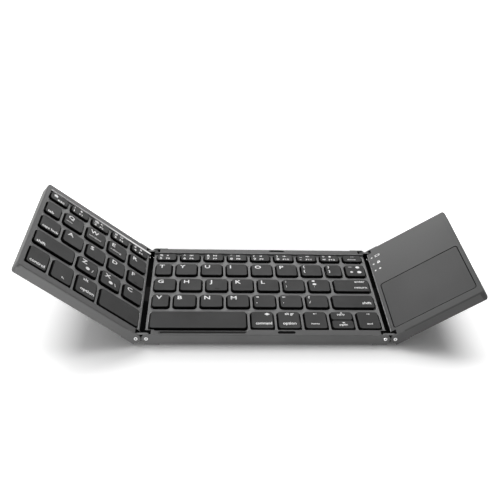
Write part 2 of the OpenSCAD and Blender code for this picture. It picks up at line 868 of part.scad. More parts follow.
at_right_wing() charging_socket();
at_right_wing() right_feet();
at_right_wing() right_wing_pins();
at_left_link() left_links();
at_left_link() left_spine();
at_left_link() left_flat_cable();
at_right_link() right_links();
at_right_link() right_spine();
at_right_link() right_flat_cable();
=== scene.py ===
# %% [markdown]
# # Folding keyboard, dressed in Blender
#
# The keyboard has three sections: a middle with 41 keys, a left wing with 23 keys and a
# right wing with a touchpad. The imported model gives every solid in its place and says
# what moves. This script keeps that frame and adds what makes it look real: softened
# edges, keycaps, printed legends, turned pins, screws, finishes, light and a camera.

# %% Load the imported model
import json
import math

import bmesh
import bpy
import numpy as np
from mathutils import Matrix, Vector

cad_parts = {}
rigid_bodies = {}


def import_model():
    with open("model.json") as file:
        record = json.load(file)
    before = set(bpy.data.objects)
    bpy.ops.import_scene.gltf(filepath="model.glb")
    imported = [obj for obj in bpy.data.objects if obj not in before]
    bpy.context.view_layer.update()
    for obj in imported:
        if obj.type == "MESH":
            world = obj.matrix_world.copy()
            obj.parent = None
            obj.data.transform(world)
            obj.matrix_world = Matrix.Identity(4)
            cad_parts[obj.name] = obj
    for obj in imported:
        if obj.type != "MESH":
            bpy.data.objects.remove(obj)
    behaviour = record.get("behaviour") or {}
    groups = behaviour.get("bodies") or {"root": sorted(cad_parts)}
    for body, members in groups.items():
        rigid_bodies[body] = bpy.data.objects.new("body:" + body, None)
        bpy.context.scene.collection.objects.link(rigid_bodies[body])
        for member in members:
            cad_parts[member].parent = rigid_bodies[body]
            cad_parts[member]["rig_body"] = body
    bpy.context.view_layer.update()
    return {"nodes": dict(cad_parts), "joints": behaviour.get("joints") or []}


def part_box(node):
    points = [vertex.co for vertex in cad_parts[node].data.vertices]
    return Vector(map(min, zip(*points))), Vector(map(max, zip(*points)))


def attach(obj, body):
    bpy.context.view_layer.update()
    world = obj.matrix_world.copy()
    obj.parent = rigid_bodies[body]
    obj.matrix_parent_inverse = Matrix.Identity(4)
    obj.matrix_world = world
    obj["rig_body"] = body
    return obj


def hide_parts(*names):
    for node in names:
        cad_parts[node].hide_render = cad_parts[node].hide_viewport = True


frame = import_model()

nodes = frame["nodes"]
joints = {joint["name"]: joint for joint in frame["joints"]}
MM = 0.001

# %% [markdown]
# ## Three sections, three places
#
# A wing is easiest to dress while it lies flat, as it lies on a workbench. So each
# section gets a matrix that takes flat coordinates, in millimetres from the underside of
# its shell, to its place in the model. The hinge pins and rest angles are read from the
# joints, so the dressing follows the model.

# %% Places of the sections
shell_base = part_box("middle_frame")[0][2]


def wing_place(joint_name, side):
    """Matrix from a flat wing, in mm from its own pin, to the raised wing."""
    joint = joints[joint_name]
    pin = Vector(joint["pos_m"])
    tilt = math.radians(-joint["range_deg"][0])
    down = Matrix.Translation((0, 0, shell_base - pin.z))
    return (Matrix.Translation(pin) @ Matrix.Rotation(-side * tilt, 4, "Y") @ down
            @ Matrix.Scale(MM, 4))


PLACES = {
    "middle": Matrix.Translation((0, 0, shell_base)) @ Matrix.Scale(MM, 4),
    "left_wing": wing_place("left_wing_turn", -1),
    "right_wing": wing_place("right_wing_turn", 1),
}
PIN_HEIGHT = (joints["left_wing_turn"]["pos_m"][2] - shell_base) / MM
HALF_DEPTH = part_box("middle_frame")[1][1] / MM
pin_x = joints["right_link_turn"]["pos_m"][0] / MM
print("pin height", round(PIN_HEIGHT, 3), "half depth", round(HALF_DEPTH, 3))

# %% [markdown]
# ## Shader maths as Python
#
# A procedural finish is a small sum: a base tone, plus some noise, times a mask. Wiring
# that by hand hides the idea, so a socket is wrapped in a class that knows + - * /. An
# expression on sockets then adds its own Math nodes.

# %% A socket that can be calculated with
class Wire:
    """A node's output socket that can stand in a Python expression."""

    def __init__(self, graph, socket):
        self.graph, self.socket = graph, socket

    def _math(self, operation, *values):
        return self.graph.add("Math", dict(enumerate(values)), operation=operation)

    def __add__(self, other):
        return self._math("ADD", self, other)

    def __sub__(self, other):
        return self._math("SUBTRACT", self, other)

    def __rsub__(self, other):
        return self._math("SUBTRACT", other, self)

    def __mul__(self, other):
        return self._math("MULTIPLY", self, other)

    def __truediv__(self, other):
        return self._math("DIVIDE", self, other)

    def __rtruediv__(self, other):
        return self._math("DIVIDE", other, self)

    __radd__, __rmul__ = __add__, __mul__

    def above(self, level):
        return self._math("GREATER_THAN", self, level)

    def sine(self):
        return self._math("SINE", self)


class Graph:
    """A node tree to which nodes are added with their settings and inputs in one call."""

    def __init__(self, tree, prefix):
        self.tree, self.prefix = tree, prefix

    def feed(self, socket, value):
        if isinstance(value, Wire):
            self.tree.links.new(value.socket, socket)
        else:
            socket.default_value = value

    def add(self, kind, inputs=None, output=0, stops=None, **settings):
        node = self.tree.nodes.new(kind if kind[:4] in ("Shad", "Geom", "Node", "Func")
                                   else self.prefix + kind)
        for name, value in settings.items():
            setattr(node, name, value)
        if stops:
            ramp = node.color_ramp.elements
            for element, (position, tone) in zip((ramp[0], ramp[-1]), (stops[0], stops[-1])):
                element.position, element.color = position, (tone, tone, tone, 1)
            for position, tone in stops[1:-1]:
                ramp.new(position).color = (tone, tone, tone, 1)
        for name, value in (inputs or {}).items():
            self.feed(node.inputs[name], value)
        return Wire(self, node.outputs[output])


# %% [markdown]
# ## A finish
#
# Every finish here is a Principled shader. Real moulded or painted parts are never one
# flat colour: they have a fine grain from the mould, a slow drift in tone and patches
# that hands have polished. Those three come from noise in Object coordinates, which stay
# with the part because every piece sits unturned at the origin. Some surfaces are also
# painted darker toward their front: painted shade, for light that falls off there.

# %% The Finish class
class Finish(Graph):
    """A material whose colour, gloss and relief are built from noise and masks."""

    def __init__(self, name, **constants):
        self.material = bpy.data.materials.new(name)
        self.material.use_nodes = True
        super().__init__(self.material.node_tree, "ShaderNode")
        self.shader = self.tree.nodes["Principled BSDF"]
        for socket, value in constants.items():
            self.shader.inputs[socket.replace("_", " ")].default_value = value
        self.place = self.add("TexCoord", output=3)

    def noise(self, per_metre, stretch=None, detail=2.0):
        place = self.place
        if stretch:
            place = self.add("Mapping", {"Vector": place, "Scale": stretch})
        return self.add("TexNoise", {"Vector": place, "Scale": per_metre, "Detail": detail})

    def from_front(self):
        """0 at the keyboard's front edge and 1 at its back edge."""
        return self.add("SeparateXYZ", {"Vector": self.place}, output=1) * (
            0.5 / HALF_DEPTH / MM) + 0.5

    def mix(self, factor, a, b):
        return self.add("Mix", {0: factor, 6: a, 7: b}, output=2, data_type="RGBA")

    def colour(self, value):
        self.feed(self.shader.inputs["Base Color"], value)

    def gloss(self, value):
        self.feed(self.shader.inputs["Roughness"], value)

    def relief(self, height, depth):
        bump = self.add("Bump", {"Height": height, "Distance": depth, "Strength": 1.0})
        self.feed(self.shader.inputs["Normal"], bump)


def grey(tone, tint=0.0):
    """A neutral colour from a linear tone, slightly cool where tint is above 0."""
    return (tone * (1 - tint), tone, tone * (1 + tint), 1)


def moulded(name, tone, rough, grain=0.16, drift=0.08, depth=8e-6, painted_front_shade=0.0, **constants):
    """A satin moulded or painted surface. grain is its size in millimetres.

    painted_front_shade is the share of the drift in tone that runs from a darker front to
    a lighter back: painted shade, for light that falls off toward the front.
    """
    finish = Finish(name, **constants)
    slow = finish.noise(38)
    fine = finish.noise(1000 / grain, detail=1.0)
    # Where the front share is given, the tone darkens toward the front: painted shade.
    shade = slow * (1 - painted_front_shade) + finish.from_front() * painted_front_shade if painted_front_shade else slow
    finish.colour(finish.mix(shade, grey(tone * (1 - 2 * drift)), grey(tone * (1 + 2 * drift))))
    finish.gloss(slow * 0.16 + fine * 0.1 + (rough - 0.13))
    finish.relief(fine, depth)
    return finish


# %% [markdown]
# ## The shell's finishes
#
# The shells are satin dark grey. Their edges get a second material, paler and glossier,
# in patches: partly wear, where pockets and bags polish the paint thinner, and partly
# painted highlight along the edges. A bevel gives its new faces a material of their own,
# which is a cheap and exact edge mask.

# %% Shell and edge
shell = moulded("shell_grey", 0.09, 0.5, Specular_IOR_Level=0.2).material
# The wing deck is painted darker toward its front: painted shade.
deck = moulded("wing_deck_grey", 0.063, 0.52, grain=0.2, drift=0.13, painted_front_shade=0.8,
               Specular_IOR_Level=0.2).material


# Patches between two tones along an edge: wear, and painted light as well.
def wear_and_highlight_edge(name, tone, bright):
    finish = Finish(name)
    patches = finish.add("ValToRGB", {"Fac": finish.noise(420, detail=4.0)},
                         stops=[(0.42, 0.0), (0.62, 1.0)])
    finish.colour(finish.mix(patches, grey(tone), grey(bright)))
    finish.gloss(0.42 - finish.noise(900) * 0.16)
    return finish.material


# A paler copy of the wing deck's grey for the right wing's front face: painted light.
front_painted_light = moulded("wing_front_painted_light", 0.076, 0.5, Specular_IOR_Level=0.2).material
# A paler copy of the shell grey for the web between the keys: painted light.
web_painted_light = moulded("web_painted_light", 0.155, 0.46, Specular_IOR_Level=0.3).material
# Near black for the floor of the thumb recess before the space bar: painted shade.
recess_painted_shade = moulded("recess_painted_shade", 0.02, 0.7, grain=0.3, Specular_IOR_Level=0.1).material
# Bright metal on the back edge of the left wing's well only: painted highlight.
painted_highlight_chamfer = moulded("painted_highlight_chamfer", 0.85, 0.4, grain=0.4, drift=0.05, Metallic=1.0).material
# Near black for the pockets the links lie in and for the round ends of the link plates: painted
# shade.
hinge_painted_shade = moulded("hinge_painted_shade", 0.003, 0.8, drift=0.2, Specular_IOR_Level=0.02).material
# Near black for the walls of the touchpad's opening and the pad's own sides and edges: painted
# shade in the groove.
groove_painted_shade = moulded("groove_painted_shade", 0.006, 0.7, drift=0.2, Specular_IOR_Level=0.05).material
# Pale patches on the long edges beside the hinge gaps: painted highlight.
gap_painted_highlight = wear_and_highlight_edge("gap_painted_highlight", 0.35, 0.6)
shell_edge = wear_and_highlight_edge("shell_worn_edge", 0.16, 0.26)
deck_edge = wear_and_highlight_edge("deck_worn_edge", 0.13, 0.2)
# The bottom covers and their edges are darker than the shell, so that the line along the foot of
# each face reads dark: painted shade.
cover_painted_shade = moulded("cover_grey", 0.045, 0.5, grain=0.25, depth=1.4e-5).material
cover_edge = wear_and_highlight_edge("cover_rim_painted_shade", 0.025, 0.05)
print("shell finishes ready")

# %% [markdown]
# ## Keys and ink
#
# The caps are near-black plastic with a fine matt texture on top. Their skirts sit in
# the windows of the deck, where little light comes, and are left smooth from the mould;
# their colour, and that of the outer band of the top's rounding, is darker still, down to
# black: painted shade.
# The legends are a pale ink, a hair thicker than nothing.

# %% Key and legend finishes
def key_plastic():
    finish = Finish("key_plastic", Specular_IOR_Level=0.15)
    slow, fine = finish.noise(60), finish.noise(7000, detail=1.0)
    speck = finish.noise(2600, detail=3.0)
    finish.colour(finish.mix(speck * 0.5 + slow * 0.5, grey(0.022), grey(0.046)))
    finish.gloss(0.66 - slow * 0.18 + fine * 0.06)
    finish.relief(fine, 6e-6)
    return finish.material


key_top = key_plastic()
# Near black for the skirts and the outer band of each cap's top rounding: painted shade.
key_skirt = moulded("key_skirt", 0.002, 0.8, drift=0.2, Specular_IOR_Level=0.05).material
ink = moulded("legend_ink", 0.9, 0.55, grain=0.1, drift=0.02, depth=2e-6).material
faint_ink = moulded("faint_legend_ink", 0.72, 0.6, grain=0.1, drift=0.03, depth=2e-6).material
print("key finishes ready")

# %% [markdown]
# ## Metal, rubber and the rest
#
# A turned pin end shows rings about its axis. The pin's form carries its own distance
# from the axis as an attribute, so the rings stay centred on each of the eight pins, and
# so does the painted shade: near black in the centre mark and round the disc's edge.
# Link plates are brushed along their length: noise squeezed hard across one direction.

# %% Metal finishes
def turned_steel():
    finish = Finish("turned_steel", Metallic=1.0)
    ring = finish.add("Attribute", output=2, attribute_name="ring")
    rings = (ring * 70.0).sine()
    # Nearer the axis than 0.45 mm and beyond 1.2 mm the colour is near black: painted shade in
    # the centre mark and round the disc's edge.
    unshaded_band = ring.above(0.45) * (1 - ring.above(1.2))
    bright = finish.mix(finish.noise(1500), grey(0.84), grey(0.97))
    finish.colour(finish.mix(unshaded_band, grey(0.02), bright))
    finish.gloss(0.3 + finish.noise(2500) * 0.12)
    finish.relief(rings, 6e-6)
    return finish.material


def brushed_steel(name, tone, rough, stretch=(60, 2600, 2600)):
    finish = Finish(name, Metallic=1.0)
    lines = finish.noise(1.0, stretch=stretch, detail=3.0)
    finish.colour(finish.mix(lines, grey(tone * 0.8), grey(tone * 1.15)))
    finish.gloss(lines * 0.25 + rough)
    finish.relief(lines, 5e-6)
    return finish.material


pin_steel = turned_steel()
link_steel = brushed_steel("link_steel", 0.1, 0.35)
screw_steel = brushed_steel("screw_steel", 0.18, 0.3, stretch=(900, 900, 900))
plate_steel = brushed_steel("plate_steel", 0.6, 0.35)
socket_steel = brushed_steel("socket_steel", 0.7, 0.25)
foil = brushed_steel("battery_foil", 0.62, 0.4, stretch=(300, 900, 900))

# %% Rubber, circuit and plain plastics
rubber = moulded("black_rubber", 0.004, 0.85, grain=0.3, drift=0.15, depth=1.5e-5,
                 Specular_IOR_Level=0.02).material
# The spines sit down in the hinge gaps; their own black is taken darker still, to near black:
# painted shade.
spine_black = moulded("spine_black", 0.002, 0.8, drift=0.15, Specular_IOR_Level=0.02).material
# The touch surface is painted darker toward its front: painted shade.
touch_surface = moulded("touch_surface", 0.028, 0.5, grain=0.12, drift=0.13, depth=4e-6,
                        painted_front_shade=0.8, Specular_IOR_Level=0.25).material
scissor_plastic = moulded("scissor_plastic", 0.7, 0.4).material
# The flat cables in the hinge gaps are near black: painted shade.
cable_film = moulded("cable_film", 0.004, 0.6, grain=0.5, Specular_IOR_Level=0.05).material
light_lens = moulded("light_lens", 0.75, 0.25, grain=0.4, drift=0.03).material


def circuit_board():
    finish = Finish("circuit_board")
    tracks = finish.noise(700, stretch=(1, 0.2, 1), detail=0.0).above(0.54)
    finish.colour(finish.mix(tracks, (0.02, 0.12, 0.05, 1), (0.05, 0.24, 0.11, 1)))
    finish.gloss(0.35 - tracks * 0.1)
    finish.relief(tracks, 1.5e-5)
    return finish.material


board_green = circuit_board()
print("materials", len(bpy.data.materials))

# %% [markdown]
# ## Softened edges
#
# A CAD solid has edges of zero radius, which catch no light. The way to cure that is to
# work on a copy of the CAD mesh: join its loose triangles, dissolve the flat ones into
# whole faces, then bevel the sharp edges. Each chain of edges is bevelled by itself and
# may have its own width, and the faces of a named zone get their own finish. The copy
# stands for the node, which stays in the model for collision.

# %% Dress a copy of a CAD node
def bake_modifiers(piece):
    """The piece's mesh with its modifiers worked in."""
    graph = bpy.context.evaluated_depsgraph_get()
    mesh = bpy.data.meshes.new_from_object(piece.evaluated_get(graph))
    piece.modifiers.clear()
    piece.data = mesh


def smooth(mesh, degrees=32):
    mesh.polygons.foreach_set("use_smooth", [True] * len(mesh.polygons))
    mesh.set_sharp_from_angle(angle=math.radians(degrees))


def add_object(name, mesh):
    piece = bpy.data.objects.new(name, mesh)
    bpy.context.scene.collection.objects.link(piece)
    return piece


def chains(edges):
    """Edges in groups that share corners."""
    left, groups = set(edges), []
    while left:
        queue, group = [left.pop()], []
        while queue:
            edge = queue.pop()
            group.append(edge)
            for near in {e for vert in edge.verts for e in vert.link_edges} & left:
                left.remove(near)
                queue.append(near)
        groups.append(group)
    return groups


SHARP_ANGLE, FLAT_ANGLE, WELD = math.radians(34), math.radians(0.6), 2e-6


def soften(work, flat, bevels):
    """Bevel each chain of sharp outer edges by itself, so a short edge thins no other.

    A bevel is (width in mm, test): edges whose flat middle passes the test get it. A
    third member, lean, makes it one flat face and moves the flat corners of that face.
    """
    sharp = [edge for edge in work.edges if edge.is_manifold
             and edge.calc_face_angle_signed(0) > SHARP_ANGLE]
    for width, test, *lean in bevels:
        chosen = [edge for edge in sharp if edge.is_valid
                  and test(flat @ ((edge.verts[0].co + edge.verts[1].co) / 2))]
        for chain in chains(chosen):
            new = bmesh.ops.bevel(work, geom=chain, offset=width * MM, offset_type="OFFSET",
                                  segments=1 if lean else 2, profile=0.5, affect="EDGES",
                                  clamp_overlap=True, material=1)
            for vert in new["verts"] if lean else ():
                vert.co = flat.inverted() @ lean[0](flat @ vert.co)


def dress(node, name, finish, edge, bevels, zones=()):
    """A copy of a CAD node with softened edges, which stands for it on the same body.

    A zone is (material, test): faces whose flat centre and normal pass the test get it.
    """
    if not isinstance(bevels, tuple):
        bevels = ((bevels, lambda spot: True),)
    body = nodes[node]["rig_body"]
    flat = PLACES.get(body, PLACES["middle"]).inverted()
    mesh = nodes[node].data.copy()
    mesh.materials.clear()
    for material in (finish, edge, *(material for material, test in zones)):
        mesh.materials.append(material)
    mesh.polygons.foreach_set("material_index", [0] * len(mesh.polygons))
    work = bmesh.new()
    work.from_mesh(mesh)
    bmesh.ops.remove_doubles(work, verts=work.verts, dist=WELD)
    bmesh.ops.dissolve_limit(work, angle_limit=FLAT_ANGLE, verts=work.verts,
                             edges=work.edges)
    soften(work, flat, bevels)
    for face in work.faces:
        spot, up = flat @ face.calc_center_median(), (flat.to_3x3() @ face.normal).normalized().z
        for number, (material, test) in enumerate(zones, 2):
            if test(spot, up):
                face.material_index = number
    work.to_mesh(mesh)
    work.free()
    smooth(mesh)
    piece = add_object(name, mesh)
    flatten = piece.modifiers.new("flat_faces", "WEIGHTED_NORMAL")
    flatten.weight, flatten.keep_sharp = 80, True
    bake_modifiers(piece)
    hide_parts(node)
    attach(piece, body)
    print(name, len(piece.data.polygons), "faces")
    return piece


# %% Shells and covers
DECK_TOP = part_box("middle_frame")[1][2] / MM - shell_base / MM
WEB_DROP, THUMB_DROP, BACK_RIM = 1.5, 0.15, 5.8
WEB_TOP, WELL_BACK = DECK_TOP - WEB_DROP, HALF_DEPTH - BACK_RIM
RECESS_TOP = DECK_TOP - (WEB_DROP + THUMB_DROP)
# A hinge reaches HINGE_REACH to each side of its pins. A link's notch starts NOTCH_FROM
# and ends NOTCH_TO behind the front face, and the same at the back.
HINGE_REACH, NOTCH_FROM, NOTCH_TO = 3.6, 0.9, 5.1
# The band of a bevelled edge reaches EDGE_REACH; heights nearer than SAME count as one
EDGE_REACH, SAME = 0.65, 0.02
# The bright chamfer on the left well's back edge, a painted highlight, runs the first of
# these over the rim and the second down the wall
HIGHLIGHT_BACK, HIGHLIGHT_DOWN = 0.8, 0.6


def flat_box(node):
    """Lowest and highest corner of a node in its section's flat coordinates."""
    flat = PLACES[nodes[node]["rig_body"]].inverted()
    spots = np.array([flat @ vert.co for vert in nodes[node].data.vertices])
    return spots.min(axis=0), spots.max(axis=0)


def at_level(level):
    return lambda spot, up: up > 0.99 and abs(spot.z - level) < 0.04


def back_edge(spot, up):
    return (spot.z > DECK_TOP - EDGE_REACH and abs(spot.y - WELL_BACK) < EDGE_REACH
            and 0.1 < up < 0.98)


def near_pins(*columns):
    return lambda spot: any(abs(spot.x - column) < HINGE_REACH for column in columns)


def in_notch(near):
    """The pocket that a link lies in, behind the ear that holds its pin."""
    return lambda spot, up: (near(spot) and spot.z < DECK_TOP - 0.3
                             and NOTCH_FROM < HALF_DEPTH - abs(spot.y) < NOTCH_TO)


def gap_side(near, level):
    """The long upper edge beside the hinge gap."""
    return lambda spot, up=0.7: (near(spot) and abs(spot.y) < HALF_DEPTH - 5
                                 and -EDGE_REACH < spot.z - level < SAME and 0.1 < up < 0.98)


def well_back_edge(spot):
    return abs(spot.z - DECK_TOP) < SAME and abs(spot.y - WELL_BACK) < 0.05


def front_face(spot, up):
    return spot.y < SAME - HALF_DEPTH and up < 0.5


def lean_back(spot):
    """Lays the chamfer back: it runs further over the rim than it drops down the wall."""
    if spot.z > DECK_TOP - SAME:
        spot.y = WELL_BACK + HIGHLIGHT_BACK
    else:
        spot.z = DECK_TOP - HIGHLIGHT_DOWN
    return spot


def off_hinges(spot):
    return HALF_DEPTH - abs(spot.y) > 0.2 and spot.z > 2


PAD_LOW, PAD_HIGH = flat_box("touchpad")


def at_opening(spot):
    """On the walls or the rim of the touchpad's opening, which is a groove wider."""
    inside = [min(spot[k] - PAD_LOW[k], PAD_HIGH[k] - spot[k]) > -0.8 for k in (0, 1)]
    return all(inside) and spot.z > PAD_LOW[2] - 0.1


def deck_rim(spot):
    return off_hinges(spot) and abs(spot.z - DECK_TOP) < SAME and abs(spot.y) < WELL_BACK + 0.1


def at_web(spot):
    return abs(spot.z - WEB_TOP) < SAME or abs(spot.z - RECESS_TOP) < SAME


MIDDLE_PINS = near_pins(-pin_x, pin_x)
WING_PINS = near_pins(0)
dress("middle_frame", "middle_shell", shell, shell_edge,
      ((0.3, gap_side(MIDDLE_PINS, WEB_TOP)), (0.12, at_web), (0.2, deck_rim)),
      zones=[(web_painted_light, at_level(WEB_TOP)), (recess_painted_shade, at_level(RECESS_TOP)),
             (hinge_painted_shade, in_notch(MIDDLE_PINS)), (gap_painted_highlight, gap_side(MIDDLE_PINS, WEB_TOP))])
# The left well's back edge gets a chamfer in the bright metal: painted highlight.
dress("left_frame", "left_shell", shell, shell_edge,
      ((HIGHLIGHT_DOWN, well_back_edge, lean_back), (0.3, gap_side(WING_PINS, WEB_TOP)), (0.12, at_web),
       (0.4, deck_rim)),
      zones=[(web_painted_light, at_level(WEB_TOP)), (painted_highlight_chamfer, back_edge),
             (hinge_painted_shade, in_notch(WING_PINS)), (gap_painted_highlight, gap_side(WING_PINS, WEB_TOP))])
dress("right_frame", "right_shell", deck, deck_edge,
      ((0.6, gap_side(WING_PINS, DECK_TOP)), (0.15, at_opening), (0.1, deck_rim)),
      # the front face takes the paler grey: painted light
      zones=[(front_painted_light, front_face), (hinge_painted_shade, in_notch(WING_PINS)),
             (gap_painted_highlight, gap_side(WING_PINS, DECK_TOP)),
             (groove_painted_shade, lambda spot, up: at_opening(spot) and up < 0.98)])
for section in ("middle", "left", "right"):
    dress(section + "_bottom_cover", section + "_underside", cover_painted_shade,
          cover_edge, 0.15)

# %% Touchpad, bumpers, feet, spines and socket
# The pad's sides and bevelled edges are near black: painted shade in the groove round it.
dress("touchpad", "touch_plate", touch_surface, groove_painted_shade, 0.15,
      zones=[(groove_painted_shade, lambda spot, up: abs(up) < 0.98)])
dress("middle_bumpers", "rim_bumpers", rubber, rubber, 0.25)
for section in ("middle", "left", "right"):
    dress(section + "_feet", section + "_rubber_feet", rubber, rubber, 0.12)
for side in ("left", "right"):
    dress(side + "_spine", side + "_spine_bar", spine_black, spine_black, 0.2)
dress("charging_socket", "charging_port", socket_steel, socket_steel, 0.06)

# %% [markdown]
# ## Forms that repeat
#
# Keycaps, pin ends and screws repeat, so Geometry Nodes place them. The places are a
# mesh of loose points, and each point can carry its own attributes. A turn says which
# way the form faces. The room says how far a keycap's corners move apart: every vertex
# of the cap's form knows which way its corner pushes, so one small cap serves a letter
# key and a space bar alike, with the same corner radius.

# %% The stamping tree
def named(graph, name, kind="FLOAT_VECTOR"):
    return graph.add("InputNamedAttribute", {"Name": name}, data_type=kind)


def stamping_tree():
    tree = bpy.data.node_groups.new("stamp_forms", "GeometryNodeTree")
    for name, kind in (("Places", "Geometry"), ("Form", "Object"), ("Size", "Float"),
                       ("Finish", "Material"), ("Side finish", "Material")):
        tree.interface.new_socket(name, in_out="INPUT", socket_type="NodeSocket" + kind)
    tree.interface.new_socket("Forms", in_out="OUTPUT", socket_type="NodeSocketGeometry")
    graph = Graph(tree, "GeometryNode")
    given = tree.nodes.new("NodeGroupInput").outputs
    given = {socket.name: Wire(graph, socket) for socket in given if socket.name}
    form = graph.add("ObjectInfo", {"Object": given["Form"]}, output="Geometry")
    stamped = graph.add("InstanceOnPoints", {
        "Points": given["Places"], "Instance": form, "Scale": given["Size"],
        "Rotation": named(graph, "turn")})
    moved = graph.add("ShaderNodeVectorMath", {0: named(graph, "push"), 1: named(graph, "room")},
                      operation="MULTIPLY")
    real = graph.add("RealizeInstances", {"Geometry": stamped})
    real = graph.add("SetPosition", {"Geometry": real, "Offset": moved})
    real = graph.add("SetMaterial", {"Geometry": real, "Material": given["Finish"]})
    real = graph.add("SetMaterial", {"Geometry": real, "Material": given["Side finish"],
                                     "Selection": named(graph, "side", "BOOLEAN")})
    graph.feed(tree.nodes.new("NodeGroupOutput").inputs[0], real)
    return tree


stamp_tree = stamping_tree()
print("stamping tree", len(stamp_tree.nodes), "nodes")

# %% Stamp a form at places
def points_mesh(name, points, **attributes):
    mesh = bpy.data.meshes.new(name)
    mesh.from_pydata(points, [], [])
    for attribute, values in attributes.items():
        data = mesh.attributes.new(attribute, "FLOAT_VECTOR", "POINT").data
        data.foreach_set("vector", np.array(values, float).ravel())
    return mesh


def stamp(name, form, points, finish, side, place, size=1.0, **attributes):
    """Forms stamped at points of a section, as one plain mesh in the model's place."""
    attributes.setdefault("turn", [(0, 0, 0)] * len(points))
    attributes.setdefault("room", [(0, 0, 0)] * len(points))
    piece = add_object(name, points_mesh(name, points, **attributes))
    modifier = piece.modifiers.new("stamp", "NODES")
    modifier.node_group = stamp_tree
    values = {"Form": form, "Size": size, "Finish": finish, "Side finish": side}
    for item in stamp_tree.interface.items_tree:
        if item.in_out == "INPUT" and item.name in values:
            modifier[item.identifier] = values[item.name]
    bake_modifiers(piece)
    piece.data.transform(place)
    return piece


# %% [markdown]
# ## Keycaps
#
# The caps have a flat top with a small radius round it and steep skirts. Below they are
# hollow, as in the CAD, so that a pressed key takes in its rubber dome. The form is built ring
# by ring, from the ceiling of the hollow down, round the skirt's edge and up to the top.
# It is only as wide as its own corners; the stamping tree pulls them apart. The sizes of
# the caps are read from the CAD solids, one box for each.

# %% The cap's form
CORNER, CORE, STEPS = 1.9, 0.02, 7
# (inset, height) of each ring; the side finish, painted shade, covers the first
# SKIRT_LEVELS bands, up into the rounding of the top
CAP_RINGS = [(1.0, -0.7), (1.0, -1.6), (0.0, -1.6), (0.0, -0.42), (0.05, -0.24),
             (0.16, -0.1), (0.32, -0.02), (0.48, 0.0), (0.8, -0.012), (1.3, -0.03)]
SKIRT_LEVELS = 6


def corner_ring(inset):
    """Points round a rounded square that is only as wide as its corners."""
    ring = []
    for turn, (sx, sy) in enumerate(((1, 1), (-1, 1), (-1, -1), (1, -1))):
        for step in range(STEPS):
            angle = math.radians(90 * (turn + step / (STEPS - 1)))
            ring.append(((sx, sy), (sx * CORE + (CORNER - inset) * math.cos(angle),
                                    sy * CORE + (CORNER - inset) * math.sin(angle))))
    return ring


def ring_form(name, rings, side_levels=0):
    """A closed solid lofted through (points, height) rings, with its push and sides."""
    count = len(rings[0][0])
    verts, push = [], []
    for ring, height in rings:
        for sign, (x, y) in ring:
            verts.append((x, y, height))
            push.append((sign[0], sign[1], 0))
    faces = [tuple(reversed(range(count))), tuple(range(len(verts) - count, len(verts)))]
    sides = [True, False]
    for level in range(len(rings) - 1):
        for i in range(count):
            j, low = (i + 1) % count, level * count
            faces.append((low + i, low + j, low + j + count, low + i + count))
            sides.append(level < side_levels)
    mesh = bpy.data.meshes.new(name)
    mesh.from_pydata(verts, [], faces)
    mesh.attributes.new("push", "FLOAT_VECTOR", "POINT").data.foreach_set(
        "vector", np.array(push, float).ravel())
    mesh.attributes.new("side", "BOOLEAN", "FACE").data.foreach_set("value", sides)
    smooth(mesh)
    return mesh


cap_form = add_object("cap_form", ring_form(
    "cap_form", [(corner_ring(inset), height) for inset, height in CAP_RINGS], SKIRT_LEVELS))
print("cap form", len(cap_form.data.polygons), "faces")

# %% Boxes of the caps in their section's flat coordinates
def cap_boxes(node, place):
    """[(centre x, centre y, width, depth, top)] of each cap of a key node, left to right."""
    work = bmesh.new()
    work.from_mesh(nodes[node].data)
    work.transform(place.inverted())
    bmesh.ops.remove_doubles(work, verts=work.verts, dist=0.002)
    boxes, left = [], set(work.verts)
    while left:
        island, queue = [], [left.pop()]
        while queue:
            vert = queue.pop()
            island.append(vert.co)
            for edge in vert.link_edges:
                other = edge.other_vert(vert)
                if other in left:
                    left.remove(other)
                    queue.append(other)
        low, high = np.min(island, axis=0), np.max(island, axis=0)
        boxes.append((*((low + high) / 2)[:2], *(high - low)[:2], high[2]))
    work.free()
    return sorted(boxes)


KEYS = {node: body for node, body in ((n, o["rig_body"]) for n, o in nodes.items())
        if node == body}
WING_KEYS = {"esc_key", "tab_key", "caps_lock_key", "left_shift_key", "ctrl_key", "fn_key",
             "left_alt_key", "left_space_bar"}
key_place = {node: PLACES["left_wing" if node in WING_KEYS or node.endswith("_left")
                          else "middle"] for node in KEYS}
KEY_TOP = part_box("enter_key")[1][2] / MM - shell_base / MM
boxes = {node: cap_boxes(node, key_place[node]) for node in KEYS}
print("key nodes", len(boxes), "caps", sum(map(len, boxes.values())), "top", round(KEY_TOP, 3))

# %% Stamp the caps of each key node
HOMING = {"home_keys_right": 2, "home_keys_left": 3}
for node, caps in boxes.items():
    piece = stamp(node + "_caps", cap_form, [(x, y, KEY_TOP) for x, y, w, d, top in caps],
                  key_top, key_skirt, key_place[node],
                  room=[(w / 2 - CORNER - CORE, d / 2 - CORNER - CORE, 0)
                        for x, y, w, d, top in caps])
    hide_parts(node)
    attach(piece, node)
bpy.data.objects.remove(cap_form)

# %% [markdown]
# ## Legends
#
# Letters are Blender text, turned into a mesh once per word and laid on the caps as
# solids 0.04 mm thick, so that they also exist in the exported model. Small marks, such
# as arrows, dots and the media signs on the number keys, are polygons in a unit square.
# Marks that would point to one maker or system are replaced by a plain diamond or dot.

# %% Words as thin solids
INK = 0.04


def thin_solid(outline_mesh):
    """Vertices and faces of a text mesh, as arrays for copying."""
    verts = np.array([v.co for v in outline_mesh.vertices])
    return verts, [tuple(p.vertices) for p in outline_mesh.polygons]


